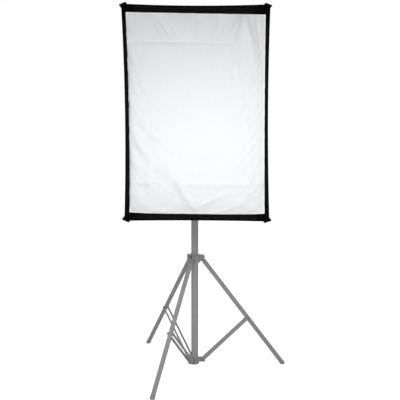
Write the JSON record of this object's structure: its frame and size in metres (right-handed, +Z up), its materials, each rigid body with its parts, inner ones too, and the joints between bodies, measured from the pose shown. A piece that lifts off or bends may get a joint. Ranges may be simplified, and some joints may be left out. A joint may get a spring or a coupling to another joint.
{
  "type": "rectangular softbox on a light stand",
  "caption": "Rectangular fabric softbox with a white front and inner baffle, on a tilting lamp head and a folding telescopic tripod stand.",
  "frame": {"origin": "centre of the hub's flat underside, on the column's axis; the floor is 18 mm below it", "axes": "+Z up the column; the softbox's white front faces -Y; +X is to the right for someone who looks at the front"},
  "size_m": [0.7791, 0.838, 1.7242],
  "materials": {
    "grey_tube": "satin grey anodised tube",
    "grey_flat": "satin grey painted flat bar",
    "grey_cast": "satin grey painted casting",
    "black_cast": "black powder coat",
    "pin_steel": "zinc plated, satin",
    "stud_steel": "bright plated, turned",
    "stand_plastic": "moulded, fine texture",
    "knob_plastic": "moulded, fine texture",
    "rubber": "matt",
    "bush_plastic": "smooth",
    "housing_plastic": "fine spark texture",
    "switch_red": "glossy",
    "inlet_plastic": "semi-gloss",
    "lead_pvc": "smooth PVC",
    "ceramic": "glazed",
    "lamp_body": "satin white",
    "lamp_opal": "opal",
    "ring_metal": "cast, satin",
    "socket_tube": "plated tube",
    "rod_steel": "spring steel",
    "black_fabric": "woven nylon",
    "hook_tape": "hook and loop tape",
    "white_cloth": "thin white diffusion cloth"
  },
  "bodies": {
    "stand": {"base_tube": "grey_tube", "spreader_hub": "grey_cast", "hub_pins": "pin_steel", "lower_lock_collar": "grey_cast"},
    "lower_knob": {"lower_lock_knob": "stand_plastic"},
    "leg_collar": {"leg_collar": "grey_cast", "leg_collar_pins": "pin_steel"},
    "leg_knob": {"leg_collar_knob": "stand_plastic"},
    "leg_right": {"leg_right": "grey_tube", "leg_tongue_right": "grey_cast", "foot_right": "rubber"},
    "leg_front": {"leg_front": "grey_tube", "leg_tongue_front": "grey_cast", "foot_front": "rubber"},
    "leg_rear": {"leg_rear": "grey_tube", "leg_tongue_rear": "grey_cast", "foot_rear": "rubber"},
    "brace_right": {"brace_right": "grey_flat", "brace_rivets_right": "pin_steel"},
    "brace_front": {"brace_front": "grey_flat", "brace_rivets_front": "pin_steel"},
    "brace_rear": {"brace_rear": "grey_flat", "brace_rivets_rear": "pin_steel"},
    "mid_column": {"mid_tube": "grey_tube", "mid_tube_bush": "bush_plastic", "upper_lock_collar": "grey_cast"},
    "upper_knob": {"upper_lock_knob": "stand_plastic"},
    "top_column": {"top_tube": "grey_tube", "top_tube_bush": "bush_plastic", "stand_stud": "stud_steel"},
    "bracket": {"stand_socket": "black_cast", "tilt_bolt": "pin_steel", "tilt_washers": "bush_plastic"},
    "socket_knob": {"socket_clamp_knob": "knob_plastic"},
    "umbrella_knob": {"umbrella_clamp_knob": "knob_plastic"},
    "lever": {"tilt_lever": "knob_plastic"},
    "head": {"tilt_arm": "black_cast", "lamp_housing": "housing_plastic", "rear_cover": "housing_plastic", "head_screws": "pin_steel", "switch_frame": "inlet_plastic", "mains_inlet": "inlet_plastic", "lamp_holder": "ceramic", "lamp_leads": "lead_pvc", "ring_retainer": "ring_metal"},
    "switch": {"switch_rocker": "switch_red"},
    "lamp": {"lamp_base": "lamp_body", "lamp_dome": "lamp_opal"},
    "softbox": {"speed_ring": "ring_metal", "rod_sockets": "socket_tube", "socket_pins": "pin_steel", "rods": "rod_steel", "rod_tips": "knob_plastic", "corner_pockets": "black_fabric", "shell_panels": "black_fabric", "rear_skirt": "black_fabric", "hook_bands": "hook_tape", "inner_baffle": "white_cloth"},
    "ring_knob": {"ring_lock_knob": "knob_plastic"},
    "diffuser": {"front_diffuser": "white_cloth"}
  },
  "joints": [
    {"name": "leg_fold", "type": "slide", "parent": "stand", "child": "leg_collar", "axis": [0, 0, 1], "range_m": [0, 0.17651]},
    {"name": "leg_right_turn", "type": "hinge", "parent": "leg_collar", "child": "leg_right", "pos_m": [0.0379, 0.00274, 0.53843], "axis": [-0.072, 0.9974, 0], "range_deg": [0, 33.89]},
    {"name": "leg_front_turn", "type": "hinge", "parent": "leg_collar", "child": "leg_front", "pos_m": [-0.01658, -0.03419, 0.53843], "axis": [0.8998, -0.4363, 0], "range_deg": [0, 33.89]},
    {"name": "leg_rear_turn", "type": "hinge", "parent": "leg_collar", "child": "leg_rear", "pos_m": [-0.02132, 0.03145, 0.53843], "axis": [-0.8278, -0.5611, 0], "range_deg": [0, 33.89]},
    {"name": "brace_right_turn", "type": "hinge", "parent": "stand", "child": "brace_right", "pos_m": [0.0399, 0.00288, 0.02], "axis": [0.072, -0.9974, 0], "range_deg": [0, 44.09]},
    {"name": "brace_front_turn", "type": "hinge", "parent": "stand", "child": "brace_front", "pos_m": [-0.01745, -0.03599, 0.02], "axis": [-0.8998, 0.4363, 0], "range_deg": [0, 44.09]},
    {"name": "brace_rear_turn", "type": "hinge", "parent": "stand", "child": "brace_rear", "pos_m": [-0.02244, 0.03311, 0.02], "axis": [0.8278, 0.5611, 0], "range_deg": [0, 44.09]},
    {"name": "leg_knob_turn", "type": "hinge", "parent": "leg_collar", "child": "leg_knob", "pos_m": [0.0082, 0.02886, 0.54243], "axis": [0.2735, 0.9619, 0], "range_deg": [0, 270]},
    {"name": "lower_knob_turn", "type": "hinge", "parent": "stand", "child": "lower_knob", "pos_m": [0, 0.025, 0.798], "axis": [0, 1, 0], "range_deg": [0, 270]},
    {"name": "mid_slide", "type": "slide", "parent": "stand", "child": "mid_column", "axis": [0, 0, 1], "range_m": [-0.11, 0.4]},
    {"name": "upper_knob_turn", "type": "hinge", "parent": "mid_column", "child": "upper_knob", "pos_m": [0, 0.022, 1.002], "axis": [0, 1, 0], "range_deg": [0, 270]},
    {"name": "top_slide", "type": "slide", "parent": "mid_column", "child": "top_column", "axis": [0, 0, 1], "range_m": [-0.04, 0.35]},
    {"name": "swivel", "type": "hinge", "parent": "top_column", "child": "bracket", "pos_m": [0, 0, 1.096], "axis": [0, 0, 1], "continuous": true},
    {"name": "socket_knob_turn", "type": "hinge", "parent": "bracket", "child": "socket_knob", "pos_m": [0, 0.02, 1.096], "axis": [0, 1, 0], "range_deg": [0, 270]},
    {"name": "umbrella_knob_turn", "type": "hinge", "parent": "bracket", "child": "umbrella_knob", "pos_m": [0.035, 0, 1.092], "axis": [1, 0, 0], "range_deg": [0, 270]},
    {"name": "tilt_lever_turn", "type": "hinge", "parent": "bracket", "child": "lever", "pos_m": [-0.025, 0, 1.152], "axis": [1, 0, 0], "range_deg": [-20, 20]},
    {"name": "head_tilt", "type": "hinge", "parent": "bracket", "child": "head", "pos_m": [0, 0, 1.152], "axis": [1, 0, 0], "range_deg": [-60, 30]},
    {"name": "switch_rock", "type": "hinge", "parent": "head", "child": "switch", "pos_m": [-0.025, 0.052, 1.247], "axis": [0, 0, 1], "range_deg": [-12, 0]},
    {"name": "lamp_pull", "type": "slide", "parent": "head", "child": "lamp", "axis": [0, -1, 0], "range_m": [0, 0.04]},
    {"name": "softbox_turn", "type": "hinge", "parent": "head", "child": "softbox", "pos_m": [0, -0.04, 1.247], "axis": [0, -1, 0], "continuous": true},
    {"name": "ring_knob_turn", "type": "hinge", "parent": "softbox", "child": "ring_knob", "pos_m": [0, -0.0365, 1.31], "axis": [0, 0, 1], "range_deg": [0, 270]},
    {"name": "diffuser_pull", "type": "slide", "parent": "softbox", "child": "diffuser", "axis": [0, -1, 0], "range_m": [0, 0.2]}
  ],
  "couplings": [
    {"joint": "leg_right_turn", "follows": "leg_fold", "rad_per_m": 3.3491},
    {"joint": "leg_front_turn", "follows": "leg_fold", "rad_per_m": 3.3491},
    {"joint": "leg_rear_turn", "follows": "leg_fold", "rad_per_m": 3.3491},
    {"joint": "brace_right_turn", "follows": "leg_fold", "rad_per_m": 4.3581},
    {"joint": "brace_front_turn", "follows": "leg_fold", "rad_per_m": 4.3581},
    {"joint": "brace_rear_turn", "follows": "leg_fold", "rad_per_m": 4.3581}
  ]
}
